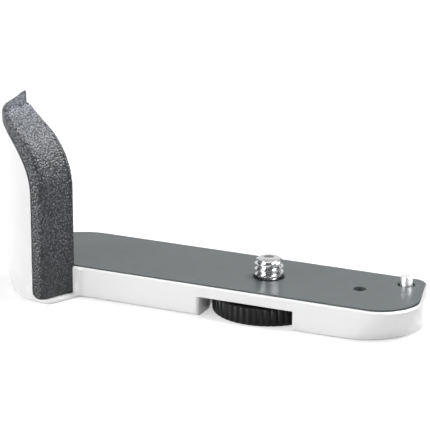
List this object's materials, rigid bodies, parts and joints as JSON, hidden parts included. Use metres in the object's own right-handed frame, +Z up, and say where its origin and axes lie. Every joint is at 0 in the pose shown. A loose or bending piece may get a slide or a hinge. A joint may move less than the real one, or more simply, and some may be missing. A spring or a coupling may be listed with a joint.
{
  "type": "camera hand grip",
  "caption": "L-shaped camera hand grip: a flat plate with a seat sheet, captive camera screw turned by a thumbwheel, locating pin, tripod socket and a grained finger pad.",
  "frame": {"origin": "on the camera screw's axis, in the seat's top face where the camera stands", "axes": "+X along the plate to its free end, +Y towards the viewer (away from the finger side), +Z up along the camera screw"},
  "size_m": [0.0965, 0.0318, 0.0433],
  "materials": {
    "white_body": "gloss",
    "white_cover": "fine matt grain",
    "grain_pad": "pebble-grained",
    "grey_lining": "matt",
    "grey_seat": "semi-gloss",
    "black_wheel": "satin",
    "steel": "plain",
    "steel_polished": "polished",
    "brass": "turned"
  },
  "bodies": {
    "grip_body": {"body_shell": "white_body", "grip_pad": "grain_pad", "grip_lining": "grey_lining", "seat_sheet": "grey_seat", "frame_plate": "steel", "base_cover_left": "white_cover", "base_cover_right": "white_cover", "screw_bush": "brass", "locating_pin": "steel_polished", "tripod_socket": "brass", "frame_screw_1": "steel", "frame_screw_2": "steel", "frame_screw_3": "steel", "frame_screw_4": "steel", "cover_screw_1": "steel", "cover_screw_2": "steel", "cover_screw_3": "steel", "cover_screw_4": "steel", "lining_screw_1": "steel", "lining_screw_2": "steel"},
    "screw_wheel": {"camera_screw": "steel_polished", "thumbwheel": "black_wheel", "friction_washer": "black_wheel", "wheel_screw": "steel"}
  },
  "joints": [
    {"name": "thumbwheel_turn", "type": "hinge", "parent": "grip_body", "child": "screw_wheel", "pos_m": [0, 0, 0], "axis": [0, 0, 1], "continuous": true}
  ]
}
